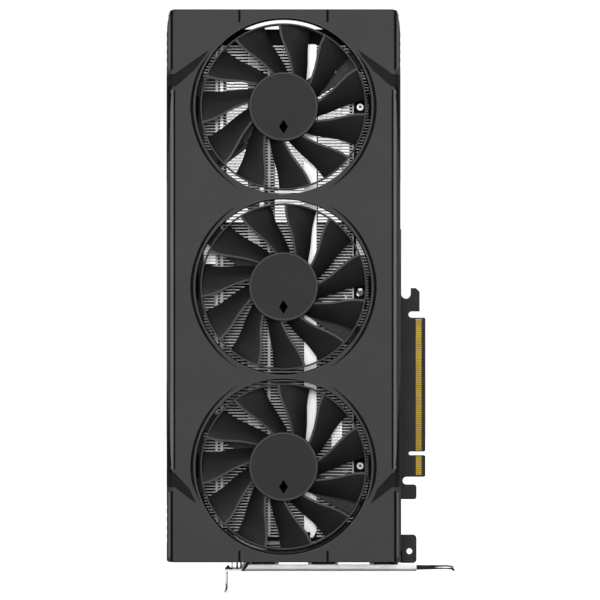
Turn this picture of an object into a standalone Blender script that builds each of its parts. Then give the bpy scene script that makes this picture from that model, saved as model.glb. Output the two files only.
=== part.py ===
"""Triple-fan graphics card, standing on end with its slot bracket at the bottom.

Frame (metres): X to the right (towards the edge connector), Y into the depth
(the fans face -Y), Z up along the card's length.  The origin is on the outer
face of the slot bracket, in the plane of the board's component face, at the
middle of the cooler's width.  All numbers below are millimetres.
"""
import math

import bmesh
import bpy
from mathutils import Matrix
from mathutils.geometry import tessellate_polygon

MM = 0.001

# ---- main sizes, mm --------------------------------------------------------
HALF_W = 61.2            # cooler half width
Z_LOW, Z_HIGH = 5.3, 295.5
Y_FACE = -45.0           # front face of the shroud
FACE_T = 2.0
WALL_T = 1.8
BOARD_T = 1.57
FAN_Z = {"top": 244.6, "middle": 150.0, "bottom": 55.5}
FAN_PHASE = {"top": 111.0, "middle": 106.7, "bottom": 111.4}
ARM_ANGLES = {"top": (33.5, 217), "middle": (144, 325), "bottom": (149.5, 330.5)}
ARM_HALF_W, ARM_TIP = 5.4, 52.6
OPENING_R = 46.2
BLADES = 11
PIPE_X = (-34.0, -7.6, 33.7)
FIN_BLOCKS = {           # x of the spine, x of the fin tips, front y, back y
    "fins_a": (-57.0, -37.3, -27.5, -14.0),
    "fins_b": (-30.7, -10.9, -27.5, -5.8),
    "fins_c": (-4.3, 10.6, -27.5, -5.8),
    "fins_d": (17.65, 30.4, -27.5, -5.8),
    "fins_e": (57.0, 38.6, -27.5, -7.0),
}
FIN_PITCH, FIN_T = 9.3, 0.9
FIN_LOW, FIN_HIGH = 17.8, 277.9
RAIL_SCREW_X = 40.5
RAIL_SCREW_Z = {"top": 245.0, "middle": 147.0, "bottom": 55.3}
PAD_HALF_Z = 7.5         # the rail's pad around each screw

# name: (red, green, blue, roughness, metallic)
FINISH = {
    "shroud_black": (0.06, 0.06, 0.062, 0.6, 0), "fan_black": (0.018, 0.018, 0.02, 0.5, 0),
    "motor_grey": (0.03, 0.03, 0.032, 0.5, 0), "copper": (0.45, 0.2, 0.1, 0.35, 1),
    "magnet": (0.05, 0.045, 0.045, 0.6, 0.3), "steel": (0.6, 0.6, 0.6, 0.3, 1),
    "bronze": (0.5, 0.35, 0.15, 0.45, 1), "fin": (0.75, 0.76, 0.78, 0.4, 1),
    "nickel": (0.7, 0.7, 0.7, 0.25, 1), "rail_black": (0.02, 0.02, 0.02, 0.6, 0),
    "mask": (0.02, 0.022, 0.024, 0.5, 0), "gold": (0.6, 0.42, 0.12, 0.4, 1),
    "package": (0.05, 0.12, 0.07, 0.4, 0), "silicon": (0.2, 0.2, 0.22, 0.15, 0.6),
    "chip": (0.02, 0.02, 0.02, 0.5, 0), "choke": (0.08, 0.08, 0.08, 0.55, 0),
    "socket_black": (0.015, 0.015, 0.015, 0.4, 0), "backplate": (0.03, 0.03, 0.032, 0.4, 0.3),
    "bracket": (0.72, 0.72, 0.72, 0.35, 1),
}
SOCKETS = {              # x from, x to, front y
    "displayport_1": (-18.7, -2.7, -5.4), "displayport_2": (12.9, 28.9, -5.4),
    "hdmi": (45.8, 60.0, -5.4),
}
AXIS_Y = -38.1           # middle of each fan's bearing, on the spin axis


# ---- helpers ---------------------------------------------------------------
def clear_scene():
    for ob in list(bpy.data.objects):
        bpy.data.objects.remove(ob, do_unlink=True)


def material(name):
    mat = bpy.data.materials.get(name)
    if mat is None:
        mat = bpy.data.materials.new(name)
        mat.use_nodes = True
        r, g, b, roughness, metallic = FINISH[name]
        mat.diffuse_color = (r, g, b, 1)
        shader = mat.node_tree.nodes["Principled BSDF"]
        shader.inputs["Base Color"].default_value = (r, g, b, 1)
        shader.inputs["Roughness"].default_value = roughness
        shader.inputs["Metallic"].default_value = metallic
    return mat


def add_object(name, bm, slot=None):
    bmesh.ops.recalc_face_normals(bm, faces=bm.faces)
    mesh = bpy.data.meshes.new(name)
    bm.to_mesh(mesh)
    bm.free()
    ob = bpy.data.objects.new(name, mesh)
    if slot:
        mesh.materials.append(material(slot))
    bpy.context.collection.objects.link(ob)
    return ob


def place(axis, u, v, w):
    """A point from two in-plane numbers and one along the axis."""
    if axis == "y":
        return (u * MM, w * MM, v * MM)
    if axis == "x":
        return (w * MM, u * MM, v * MM)
    return (u * MM, v * MM, w * MM)


def prism_mesh(axis, outer, w0, w1, holes=()):
    """Flat plate with holes."""
    bm = bmesh.new()
    loops = [outer] + list(holes)
    front, back = [], []
    for loop in loops:
        front.append([bm.verts.new(place(axis, u, v, w0)) for u, v in loop])
        back.append([bm.verts.new(place(axis, u, v, w1)) for u, v in loop])
    if len(loops) == 1:
        bm.faces.new(front[0])
        bm.faces.new(list(reversed(back[0])))
    else:
        tris = tessellate_polygon([[(u, v, 0) for u, v in loop] for loop in loops])
        front_flat = [v for loop in front for v in loop]
        back_flat = [v for loop in back for v in loop]
        for tri in tris:
            bm.faces.new([front_flat[i] for i in tri])
            bm.faces.new([back_flat[i] for i in reversed(tri)])
    for k in range(len(loops)):
        n = len(loops[k])
        for i in range(n):
            j = (i + 1) % n
            bm.faces.new([front[k][i], front[k][j], back[k][j], back[k][i]])
    return bm


def plate(name, slot, axis, outer, w0, w1, holes=()):
    return add_object(name, prism_mesh(axis, outer, w0, w1, holes), slot)


def box_mesh(x0, x1, y0, y1, z0, z1):
    return prism_mesh("y", [(x0, z0), (x1, z0), (x1, z1), (x0, z1)], y0, y1)


def box(name, slot, x0, x1, y0, y1, z0, z1):
    return add_object(name, box_mesh(x0, x1, y0, y1, z0, z1), slot)


def circle(cx, cz, r, n):
    return [(cx + r * math.cos(2 * math.pi * i / n),
             cz + r * math.sin(2 * math.pi * i / n)) for i in range(n)]


def rounded(x0, x1, z0, z1, r, n=4):
    out = []
    for cx, cz, a in ((x1 - r, z1 - r, 0), (x0 + r, z1 - r, 90),
                      (x0 + r, z0 + r, 180), (x1 - r, z0 + r, 270)):
        for i in range(n + 1):
            t = math.radians(a + 90 * i / n)
            out.append((cx + r * math.cos(t), cz + r * math.sin(t)))
    return out


def lathe_mesh(cx, cz, profile, n):
    """Closed ring or disc about the Y direction; profile is (radius, y)."""
    bm = bmesh.new()
    rings = []
    for r, y in profile:
        if r < 1e-6:
            rings.append([bm.verts.new((cx * MM, y * MM, cz * MM))] * n)
        else:
            rings.append([bm.verts.new((x * MM, y * MM, z * MM))
                          for x, z in circle(cx, cz, r, n)])
    closed = profile[0][0] > 1e-6
    for k in range(len(rings) if closed else len(rings) - 1):
        a, b = rings[k], rings[(k + 1) % len(rings)]
        for i in range(n):
            j = (i + 1) % n
            quad = []
            for v in (a[i], a[j], b[j], b[i]):
                if v not in quad:
                    quad.append(v)
            if len(quad) > 2:
                bm.faces.new(quad)
    return bm


def lathe(name, slot, cx, cz, profile, n):
    ob = add_object(name, lathe_mesh(cx, cz, profile, n), slot)
    ob.data.shade_smooth()
    ob.data.set_sharp_from_angle(angle=math.radians(35))
    return ob


def boolean(ob, bm, operation, tag):
    """Apply one solid to another with an exact Boolean modifier."""
    tool = add_object("tool_" + ob.name + "_" + tag, bm)
    tool.hide_render = True
    tool.display_type = "WIRE"
    mod = ob.modifiers.new(tag, "BOOLEAN")
    mod.operation = operation
    mod.solver = "EXACT"
    mod.object = tool


def cut(ob, bm, tag):
    boolean(ob, bm, "DIFFERENCE", tag)


def add(ob, bm, tag):
    boolean(ob, bm, "UNION", tag)


def merge(*meshes):
    """Several separate closed solids in one tool mesh."""
    out = bmesh.new()
    for bm in meshes:
        temp = bpy.data.meshes.new("temp")
        bm.to_mesh(temp)
        bm.free()
        out.from_mesh(temp)
        bpy.data.meshes.remove(temp)
    return out


def polar(cz, r, deg):
    return r * math.cos(math.radians(deg)), cz + r * math.sin(math.radians(deg))


# ---- shroud ----------------------------------------------------------------
def outline(inset, end_inset):
    """Cooler outline pulled in by one amount at the sides and another at the ends."""
    w, c = HALF_W - inset, 1.2
    low, high = Z_LOW + end_inset, Z_HIGH - end_inset
    return [(-w + c, low), (w - c, low), (w, low + c), (w, 285.0), (w - 1.2, high - c),
            (w - 1.2 - c, high), (-w + 1.2 + c, high), (-w + 1.2, high - c), (-w, 285.0),
            (-w, low + c)]


def loft_mesh(layers):
    bm = bmesh.new()
    rings = [[bm.verts.new((x * MM, y * MM, z * MM)) for x, z in pts] for pts, y in layers]
    for a, b in zip(rings, rings[1:]):
        for i in range(len(a)):
            j = (i + 1) % len(a)
            bm.faces.new([a[i], a[j], b[j], b[i]])
    bm.faces.new(rings[0])
    bm.faces.new(list(reversed(rings[-1])))
    return bm


CHEVRON_TOP = [(39.1, 274.3), (57.3, 261.5), (66.0, 261.5), (66.0, 255.0), (56.6, 255.0),
               (47.0, 263.4), (41.4, 270.5)]
CHEVRON_LOW = [(45.6, 35.9), (49.3, 43.9), (57.1, 52.3), (66.0, 52.3), (66.0, 44.8),
               (57.1, 44.8)]


def build_shroud():
    sections = [(outline(2.6, 0.5), Y_FACE), (outline(0.9, 0), Y_FACE + 1.2),
                (outline(0, 0), Y_FACE + 4.5), (outline(0, 0), 3.1)]
    ob = add_object("shroud", loft_mesh(sections), "shroud_black")
    inner = HALF_W - WALL_T
    cut(ob, box_mesh(-inner, inner, Y_FACE + FACE_T, 4, Z_LOW + WALL_T, Z_HIGH - WALL_T), "inside")
    cut(ob, merge(*[prism_mesh("y", circle(0, z, OPENING_R, 48), Y_FACE - 1, Y_FACE + FACE_T + 1)
                    for z in FAN_Z.values()]), "openings")
    # the side windows overlap, so each is cut by itself and no sliver is left between them
    cut(ob, box_mesh(-70, 70, -27, 5, 62, 184), "side_window")
    cut(ob, box_mesh(-70, 70, -27, -4, 183, 248), "side_window_top")
    cut(ob, box_mesh(-70, 70, -1.5, 5, 0, 62.5), "board_gap")
    cut(ob, box_mesh(-46, 46, -38, -4, 292, 298), "end_window")
    cut(ob, box_mesh(-24, 59.3, -27, 0, 0, 8), "outputs")
    cut(ob, box_mesh(45, 66, -8, 0, 0, 22), "hdmi_notch")
    cut(ob, merge(*[prism_mesh("y", [(sign * x, z) for x, z in pts], Y_FACE - 1, Y_FACE + 0.9)
                    for sign in (-1, 1) for pts in (CHEVRON_TOP, CHEVRON_LOW)]), "chevrons")
    cut(ob, merge(*[box_mesh(*x_span, Y_FACE + 0.5, -33, z0, z1)
                    for x_span in ((-66, 0.6 - HALF_W), (HALF_W - 0.6, 66))
                    for z0, z1 in ((255.0, 261.5), (44.8, 52.3))]), "chevron_sides")
    cut(ob, merge(*[box_mesh(x - 0.6, x + 0.6, Y_FACE - 1, Y_FACE + 1, z0, z1)
                    for x in (-23.15, 23.15) for z0, z1 in ((288.8, 297), (4, 11.5))]), "seams")
    bosses = []
    for where, cz in FAN_Z.items():
        for a in ARM_ANGLES[where]:
            x, z = polar(cz, 50.2, a)
            bosses.append(prism_mesh("y", circle(x, z, 2.6, 12), Y_FACE + 1.2, -31.6))
    add(ob, merge(*bosses), "bosses")
    return ob


# ---- fans ------------------------------------------------------------------
def arm_outline(cz, hub_r, angles):
    """Disc with straight radial arms, walked anticlockwise."""
    pts = []
    spread = math.degrees(math.asin(ARM_HALF_W / hub_r))
    tip_spread = math.degrees(math.asin(ARM_HALF_W / ARM_TIP))
    for k, a in enumerate(angles):
        pts += [polar(cz, hub_r, a - spread), polar(cz, ARM_TIP, a - tip_spread),
                polar(cz, ARM_TIP, a + tip_spread), polar(cz, hub_r, a + spread)]
        nxt = angles[(k + 1) % len(angles)] + (360 if k + 1 == len(angles) else 0)
        start, stop = a + spread, nxt - spread
        steps = max(2, int((stop - start) / 12))
        pts += [polar(cz, hub_r, start + (stop - start) * i / steps) for i in range(1, steps)]
    return pts


def build_frame(where):
    cz = FAN_Z[where]
    plate("fan_frame_" + where, "motor_grey", "y", arm_outline(cz, 18.0, ARM_ANGLES[where]),
          -31.2, -29.0, [circle(0, cz, 3.4, 24)])


def build_motor(where):
    cz = FAN_Z[where]
    pts = []
    for k in range(9):
        a = k * 40
        pts += [polar(cz, 8.2, a - 9), polar(cz, 12.2, a - 6), polar(cz, 12.2, a - 16),
                polar(cz, 13.9, a - 16), polar(cz, 13.9, a), polar(cz, 13.9, a + 16),
                polar(cz, 12.2, a + 16), polar(cz, 12.2, a + 6), polar(cz, 8.2, a + 9)]
    plate("motor_stator_" + where, "copper", "y", pts, -40.6, -33.6, [circle(0, cz, 3.5, 24)])
    lathe("bearing_" + where, "bronze", 0, cz,
          [(1.56, -41.0), (3.2, -41.0), (3.2, -28.4), (1.56, -28.4)], 20)
    shaft = lathe("rotor_shaft_" + where, "steel", 0, cz,
                  [(0, -41.6), (1.5, -41.6), (1.5, -28.8), (0, -28.8)], 20)
    magnet = lathe("rotor_magnet_" + where, "magnet", 0, cz,
                   [(14.5, -41.4), (16.5, -41.4), (16.5, -33.2), (14.5, -33.2)], 24)
    return shaft, magnet


BLADE_STATIONS = [       # radius, lead angle, angular width, lead y, trail y
    (17.7, -3.4, 27.5, -40.8, -32.2),
    (22.0, 2.5, 24.5, -41.3, -32.6),
    (29.0, 9.6, 24.0, -41.9, -33.3),
    (36.0, 14.1, 23.5, -42.2, -34.2),
    (42.9, 15.2, 22.7, -42.4, -35.0),
]


def blade_mesh(cz, phase):
    bm = bmesh.new()
    rings = []
    for r, lead, width, y_lead, y_trail in BLADE_STATIONS:
        a0, a1 = phase + lead, phase + lead - width
        mid, t = (a0 + a1) / 2, 0.55
        y_mid = y_lead * 0.42 + y_trail * 0.58
        pts = [(a0, y_lead - t * 0.4), (mid, y_mid - t * 1.3), (a1, y_trail - t * 0.3),
               (a1, y_trail + t * 0.5), (mid, y_mid + t * 0.9), (a0, y_lead + t * 0.8)]
        ring = []
        for a, y in pts:
            x, z = polar(cz, r, a)
            ring.append(bm.verts.new((x * MM, y * MM, z * MM)))
        rings.append(ring)
    for a, b in zip(rings, rings[1:]):
        for i in range(6):
            j = (i + 1) % 6
            bm.faces.new([a[i], a[j], b[j], b[i]])
    bm.faces.new(rings[0])
    bm.faces.new(list(reversed(rings[-1])))
    bmesh.ops.recalc_face_normals(bm, faces=bm.faces)
    return bm


def build_impeller(where):
    cz = FAN_Z[where]
    ob = lathe("impeller_" + where, "fan_black", 0, cz,
               [(0, -43.6), (17.6, -43.6), (18.4, -42.9), (18.4, -31.8), (16.9, -31.8),
                (16.9, -41.9), (0, -41.9)], 33)
    add(ob, lathe_mesh(0, cz, [(42.5, -42.6), (43.4, -42.6), (43.4, -34.4), (42.5, -34.4)], 44),
        "rim")
    step = 360 / BLADES
    add(ob, merge(*[blade_mesh(cz, FAN_PHASE[where] + step * k) for k in range(BLADES)]), "blades")
    return ob


def hang_on_axis(where, moving):
    """Parents a fan's moving pieces to an empty on its spin axis."""
    axis = bpy.data.objects.new("spin_axis_" + where, None)
    axis.location = (0, AXIS_Y * MM, FAN_Z[where] * MM)
    bpy.context.collection.objects.link(axis)
    for ob in moving:
        ob.data.transform(Matrix.Translation(-axis.location))
        ob.parent = axis


# ---- heatsink --------------------------------------------------------------
def build_fins(name, spine, tip, y_front, y_back):
    """Comb: a thin side sheet with fins standing off it, open from front to back."""
    count = int((FIN_HIGH - FIN_LOW - FIN_T) / FIN_PITCH) + 1
    root = spine + math.copysign(0.8, tip - spine)
    pts = [(spine, FIN_LOW + (count - 1) * FIN_PITCH + FIN_T), (spine, FIN_LOW)]
    for k in range(count):
        z = FIN_LOW + k * FIN_PITCH
        x = tip
        if name == "fins_e" and near_a_pad(z):
            x = 43.8
        pts += [(x, z), (x, z + FIN_T)]
        if k + 1 < count:
            pts += [(root, z + FIN_T), (root, z + FIN_PITCH)]
    plate(name, "fin", "y", pts, y_front, y_back)


def near_a_pad(z):
    return any(abs(z + FIN_T / 2 - pad) < PAD_HALF_Z + 1.5 for pad in RAIL_SCREW_Z.values())


def rail_outline():
    """A narrow strip with one square pad for each fan's screw."""
    x0, x1, x2 = 37.0, 38.2, 43.4
    pts = [(x0, FIN_HIGH), (x0, FIN_LOW), (x1, FIN_LOW)]
    for z in sorted(RAIL_SCREW_Z.values()):
        pts += [(x1, z - PAD_HALF_Z), (x2, z - PAD_HALF_Z), (x2, z + PAD_HALF_Z), (x1, z + PAD_HALF_Z)]
    return pts + [(x1, FIN_HIGH)]


def build_heatsink():
    for name, dims in FIN_BLOCKS.items():
        build_fins(name, *dims)
    for k, x in enumerate(PIPE_X):
        rod("heat_pipe_%d" % (k + 1), "nickel", x, -9.0, 3.0, FIN_LOW, FIN_HIGH - 1, 16)
    box("spreader_bar", "nickel", 10.9, 17.35, -27.3, -5.8, FIN_LOW, FIN_HIGH)
    plate("mount_rail", "rail_black", "y", rail_outline(), -26.0, -23.8,
          [circle(RAIL_SCREW_X, z, 1.2, 16) for z in RAIL_SCREW_Z.values()])
    for where, z in RAIL_SCREW_Z.items():
        lathe("rail_screw_" + where, "steel", RAIL_SCREW_X, z,
              [(0, -27.5), (1.75, -27.5), (1.75, -26.2), (1.0, -26.2), (1.0, -22.0), (0, -22.0)], 16)
    bar = box("crossbar", "rail_black", -57.5, 57.5, -27.5, -6.0, 278.2, 285.9)
    cut(bar, box_mesh(-55.5, 55.5, -26.0, -5.0, 279.8, 284.4), "hollow")
    brace = box("end_brace", "steel", -52.0, 40.0, -24.0, -7.0, 9.0, 17.2)
    cut(brace, box_mesh(-53.0, 41.0, -23.0, -6.0, 7.0, 16.2), "fold")


def rod(name, slot, x, y, r, z0, z1, n):
    plate(name, slot, "z", [(x + r * math.cos(2 * math.pi * i / n),
                             y + r * math.sin(2 * math.pi * i / n)) for i in range(n)], z0, z1)


# ---- board -----------------------------------------------------------------
def arc(cx, cz, r, a0, a1, n=4):
    return [(cx + r * math.cos(math.radians(a0 + (a1 - a0) * i / n)),
             cz + r * math.sin(math.radians(a0 + (a1 - a0) * i / n))) for i in range(n + 1)]


def board_outline():
    pts = [(-58.0, 5.9), (62.8, 5.9), (62.8, 2.3)]
    pts += arc(69.0, 4.3, 2.0, -90, 0) + arc(69.0, 15.5, 2.0, 0, 90)
    pts += [(62.8, 17.5), (62.8, 36.4)]
    pts += arc(69.6, 37.8, 1.4, -90, 0) + arc(69.6, 42.9, 1.4, 0, 90)
    pts += arc(65.6, 46.35, 2.05, 270, 90, 6)
    pts += [(75.15, 48.4), (75.75, 49.0), (75.75, 59.4), (75.15, 60.0)]
    pts += arc(67.75, 60.95, 0.95, 270, 90, 6)
    pts += [(75.15, 61.9), (75.75, 62.5), (75.75, 133.0), (75.15, 133.55)]
    pts += arc(68.35, 135.2, 1.65, 270, 90, 6)
    pts += [(72.65, 136.85), (72.65, 147.4), (70.65, 149.4), (67.9, 149.4)]
    pts += [(67.9, 146.25)] + arc(65.35, 146.25, 2.55, 0, -180, 8)[1:]
    pts += [(62.8, 150.5), (62.8, 180.6), (60.8, 182.6), (-56.0, 182.6), (-58.0, 180.6)]
    return pts


def build_board():
    holes = [circle(67.2, 8.6, 1.55, 20)]
    for x, z in ((-18.0, 81.0), (28.0, 81.0), (-18.0, 127.0), (28.0, 127.0)):
        holes.append(circle(x, z, 1.4, 12))
    plate("pcb", "mask", "y", board_outline(), 0.0, BOARD_T, holes)
    box("edge_contacts_short", "gold", 70.6, 73.65, -0.12, -0.02, 49.3, 59.5)
    box("edge_contacts_long", "gold", 70.6, 73.65, -0.12, -0.02, 62.4, 132.7)
    box("gpu_package", "package", -15.0, 25.0, -1.3, -0.1, 84.0, 124.0)
    box("gpu_die", "silicon", -5.0, 15.0, -2.1, -1.4, 92.0, 116.0)
    for k, (x, z) in enumerate(((-31.0, 88.0), (-31.0, 106.0), (-8.0, 134.0), (12.0, 134.0))):
        box("memory_chip_%d" % (k + 1), "chip", x, x + 12, -1.2, -0.1, z, z + 12)
    for k in range(2):
        z = 76.0 + 24 * k
        plate("choke_%d" % (k + 1), "choke", "y", rounded(-52, -42, z, z + 10, 1.5, 2), -5.2, -0.1)
    socket = box("power_socket", "socket_black", -60.6, -47.0, -12.4, -0.3, 156.0, 178.0)
    cut(socket, box_mesh(-62, -50.0, -11.2, -1.5, 157.3, 176.7), "mouth")
    plate("cold_plate", "nickel", "y", rounded(-22, 32, 78, 130, 2.0, 2), -5.5, -2.4,
          [circle(-18.0, 81.0, 1.4, 12), circle(28.0, 81.0, 1.4, 12),
           circle(-18.0, 127.0, 1.4, 12), circle(28.0, 127.0, 1.4, 12)])
    plate("memory_plate", "nickel", "y",
          [(-39.0, 62.0), (38.0, 62.0), (38.0, 150.0), (-39.0, 150.0)], -2.3, -1.5,
          [rounded(-17.0, 27.0, 82.0, 126.0, 1.0, 1), circle(-18.6, 80.4, 1.0, 12),
           circle(28.6, 80.4, 1.0, 12), circle(-18.6, 127.6, 1.0, 12), circle(28.6, 127.6, 1.0, 12)])


# ---- back ------------------------------------------------------------------
SCREW_SPOTS = ((-52.0, 14.0), (52.0, 14.0), (-52.0, 172.0), (52.0, 172.0))


def build_back():
    holes = [rounded(-36.0, 43.4, 184.2, 260.0, 2.0, 3), rounded(-38.0, 38.0, 286.3, 293.8, 1.5, 3),
             rounded(-22.0, 32.0, 77.0, 131.0, 2.0, 2)]
    holes += [circle(x, z, 1.8, 16) for x, z in SCREW_SPOTS]
    plate("backplate", "backplate", "y", rounded(-60.2, 60.2, 6.0, 295.3, 3.0, 4), 3.5, 5.0, holes)
    for k, (x, z) in enumerate(SCREW_SPOTS):
        lathe("backplate_screw_%d" % (k + 1), "steel", x, z,
              [(0, 5.6), (2.6, 5.6), (2.6, 5.1), (1.3, 5.1), (1.3, 1.8), (0, 1.8)], 16)
    cross = []
    cx, cz = 5.0, 104.0
    for a in (45, 135, 225, 315):
        t = math.radians(a)
        ux, uz = math.cos(t), math.sin(t)
        for along, side in ((9.0, -1), (31.0, -1), (34.0, 0), (31.0, 1), (9.0, 1)):
            cross.append((cx + along * ux - side * 3.0 * uz, cz + along * uz + side * 3.0 * ux))
    plate("gpu_bracket", "steel", "y", cross, 2.0, 3.1, [circle(cx, cz, 4.0, 16)])


# ---- slot bracket and outputs ---------------------------------------------
def build_bracket():
    body = plate("slot_bracket", "bracket", "y",
                 [(-31.0, -11.4), (-30.0, -11.4), (-30.0, 0), (70.1, 0), (70.1, 1.0), (-31.0, 1.0)],
                 -34.5, 4.2)
    tail = [(69.0, 0.0), (77.0, 0.3), (84.0, 0.9), (88.6, 1.6), (90.2, 0.6), (90.4, 1.3), (88.8, 2.8),
            (84.0, 2.4), (77.0, 2.2), (70.0, 2.3), (69.0, 1.0)]
    add(body, prism_mesh("y", tail, -20.2, -10.2), "tail")
    lip = [(-22.3, 0.5), (70.1, 0.5), (70.1, 3.6), (-20.2, 3.6)]
    add(body, prism_mesh("y", lip, -34.5, -33.5), "lip")
    lug = [(-24.1, 0.5), (-22.6, 0.5), (-18.2, 4.9), (-18.2, 8.6), (-19.2, 8.6), (-19.2, 5.3)]
    add(body, prism_mesh("y", lug, -26.0, -10.0), "lug")
    cuts = [box_mesh(x0 - 0.3, x1 + 0.3, y0 - 0.3, 0.05, -1, 2) for x0, x1, y0 in SOCKETS.values()]
    for k in range(9):
        x = -14.0 + 9.0 * k
        cuts.append(prism_mesh("z", [(x, -30.5), (x + 6.0, -30.5), (x + 6.0, -13.5), (x, -13.5)],
                               -1, 2))
    cuts.append(box_mesh(-32, -29, -18.0, -13.6, -13, -5.2))
    cuts.append(box_mesh(-32, -29, 2.3, 6.0, -13, -5.2))
    cut(body, merge(*cuts), "holes")
    for k, x in enumerate((-22.4, 38.0)):
        plate("bracket_screw_%d" % (k + 1), "steel", "z", circle(x, -6.0, 2.6, 16), -1.3, -0.1)


def build_sockets():
    for name, (x0, x1, y0) in SOCKETS.items():
        ob = box(name, "steel", x0, x1, y0, -0.25, 0.0, 20.0)
        cut(ob, box_mesh(x0 + 0.4, x1 - 0.4, y0 + 0.4, -0.65, -1.0, 14.0), "mouth")


clear_scene()
build_shroud()
for spot in FAN_Z:
    build_frame(spot)
    rotor = build_motor(spot)
    hang_on_axis(spot, (build_impeller(spot), *rotor))
build_heatsink()
build_board()
build_back()
build_bracket()
build_sockets()
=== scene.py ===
"""Looks for the triple-fan graphics card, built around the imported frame.

Every length is in millimetres and is scaled by MM.  X is right, the fans face
-Y, and Z is up along the card.
"""
import math
import random

import bmesh
import bpy
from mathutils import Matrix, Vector


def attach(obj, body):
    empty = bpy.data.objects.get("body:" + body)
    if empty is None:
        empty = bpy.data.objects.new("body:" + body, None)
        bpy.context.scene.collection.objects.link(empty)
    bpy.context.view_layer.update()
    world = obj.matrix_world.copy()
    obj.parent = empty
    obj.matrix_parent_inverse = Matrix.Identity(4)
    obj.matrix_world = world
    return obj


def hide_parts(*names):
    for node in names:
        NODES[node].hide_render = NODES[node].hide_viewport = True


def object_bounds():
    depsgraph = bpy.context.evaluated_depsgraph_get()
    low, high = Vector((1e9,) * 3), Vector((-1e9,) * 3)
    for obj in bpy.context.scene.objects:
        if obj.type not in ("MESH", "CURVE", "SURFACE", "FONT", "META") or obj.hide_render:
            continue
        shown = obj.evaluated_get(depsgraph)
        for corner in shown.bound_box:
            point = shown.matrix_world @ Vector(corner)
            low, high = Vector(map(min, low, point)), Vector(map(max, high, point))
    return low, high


MM = 0.001
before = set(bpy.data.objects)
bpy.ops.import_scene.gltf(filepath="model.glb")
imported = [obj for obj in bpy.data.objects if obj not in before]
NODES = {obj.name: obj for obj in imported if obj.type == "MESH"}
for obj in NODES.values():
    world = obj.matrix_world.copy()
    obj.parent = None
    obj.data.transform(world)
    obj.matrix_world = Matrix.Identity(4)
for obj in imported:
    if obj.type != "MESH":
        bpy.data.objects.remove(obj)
CAD_BOX = [list(p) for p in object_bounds()]

FANS = {"top": 244.6, "middle": 150.0, "bottom": 55.5}
PHASE = {"top": 109.2, "middle": 105.0, "bottom": 110.0}
ARMS = {"top": (33.5, 217), "middle": (144, 325), "bottom": (149.5, 330.5)}
HALF_W, Z_LOW, Z_HIGH, Y_FACE = 61.5, 5.3, 295.5, -45.0
BOARD_T = 1.57


# ---- geometry --------------------------------------------------------------
def polar(cz, r, deg):
    return r * math.cos(math.radians(deg)), cz + r * math.sin(math.radians(deg))


def circle(cx, cz, r, n):
    return [(cx + r * math.cos(2 * math.pi * i / n), cz + r * math.sin(2 * math.pi * i / n))
            for i in range(n)]


def arc(cx, cz, r, a0, a1, n):
    return [(cx + r * math.cos(math.radians(a0 + (a1 - a0) * i / n)),
             cz + r * math.sin(math.radians(a0 + (a1 - a0) * i / n))) for i in range(n + 1)]


def rounded(x0, x1, z0, z1, r, n=6):
    return (arc(x1 - r, z1 - r, r, 0, 90, n) + arc(x0 + r, z1 - r, r, 90, 180, n)
            + arc(x0 + r, z0 + r, r, 180, 270, n) + arc(x1 - r, z0 + r, r, 270, 360, n))


def place(axis, u, v, w):
    if axis == "y":
        return (u * MM, w * MM, v * MM)
    if axis == "x":
        return (w * MM, u * MM, v * MM)
    return (u * MM, v * MM, w * MM)


def prism(bm, axis, pts, w0, w1):
    """Adds one closed extruded polygon to bm."""
    a = [bm.verts.new(place(axis, u, v, w0)) for u, v in pts]
    b = [bm.verts.new(place(axis, u, v, w1)) for u, v in pts]
    faces = [bm.faces.new(a), bm.faces.new(list(reversed(b)))]
    for i in range(len(a)):
        j = (i + 1) % len(a)
        faces.append(bm.faces.new([a[i], b[i], b[j], a[j]]))
    bmesh.ops.recalc_face_normals(bm, faces=faces)
    return bm


def block(bm, x0, x1, y0, y1, z0, z1):
    return prism(bm, "y", [(x0, z0), (x1, z0), (x1, z1), (x0, z1)], y0, y1)


def loft(bm, rings, closed=False):
    """Skin between equal rings of points in millimetres, capped unless closed."""
    vs = [[bm.verts.new([c * MM for c in p]) for p in ring] for ring in rings]
    faces = []
    pairs = list(zip(vs, vs[1:])) + ([(vs[-1], vs[0])] if closed else [])
    for a, b in pairs:
        for i in range(len(a)):
            j = (i + 1) % len(a)
            faces.append(bm.faces.new([a[i], a[j], b[j], b[i]]))
    if not closed:
        faces += [bm.faces.new(vs[0]), bm.faces.new(list(reversed(vs[-1])))]
    bmesh.ops.recalc_face_normals(bm, faces=faces)
    return bm


def lathe(bm, cx, cz, profile, n, axis="y"):
    """Ring about Y (or Z) from (radius, along) pairs; a zero radius closes it."""
    start_axis, end_axis = profile[0][0] < 1e-6, profile[-1][0] < 1e-6
    rings, faces = [], []
    for r, w in profile:
        if r < 1e-6:
            rings.append([bm.verts.new(place(axis, cx, cz, w))] * n)
        else:
            rings.append([bm.verts.new(place(axis, u, v, w)) for u, v in circle(cx, cz, r, n)])
    pairs = list(zip(rings, rings[1:]))
    if not (start_axis or end_axis):
        pairs.append((rings[-1], rings[0]))
    for a, b in pairs:
        for i in range(n):
            j = (i + 1) % n
            quad = []
            for v in (a[i], a[j], b[j], b[i]):
                if v not in quad:
                    quad.append(v)
            if len(quad) > 2:
                faces.append(bm.faces.new(quad))
    bmesh.ops.recalc_face_normals(bm, faces=faces)
    return bm


def mark_smooth(mesh, angle):
    bm = bmesh.new()
    bm.from_mesh(mesh)
    for f in bm.faces:
        f.smooth = True
    for e in bm.edges:
        e.smooth = len(e.link_faces) == 2 and e.calc_face_angle(0) < math.radians(angle)
    bm.to_mesh(mesh)
    bm.free()


def new_object(name, bm, mat=None):
    mesh = bpy.data.meshes.new(name)
    bm.to_mesh(mesh)
    bm.free()
    ob = bpy.data.objects.new(name, mesh)
    bpy.context.scene.collection.objects.link(ob)
    if mat:
        mesh.materials.append(mat)
    return ob


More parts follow.
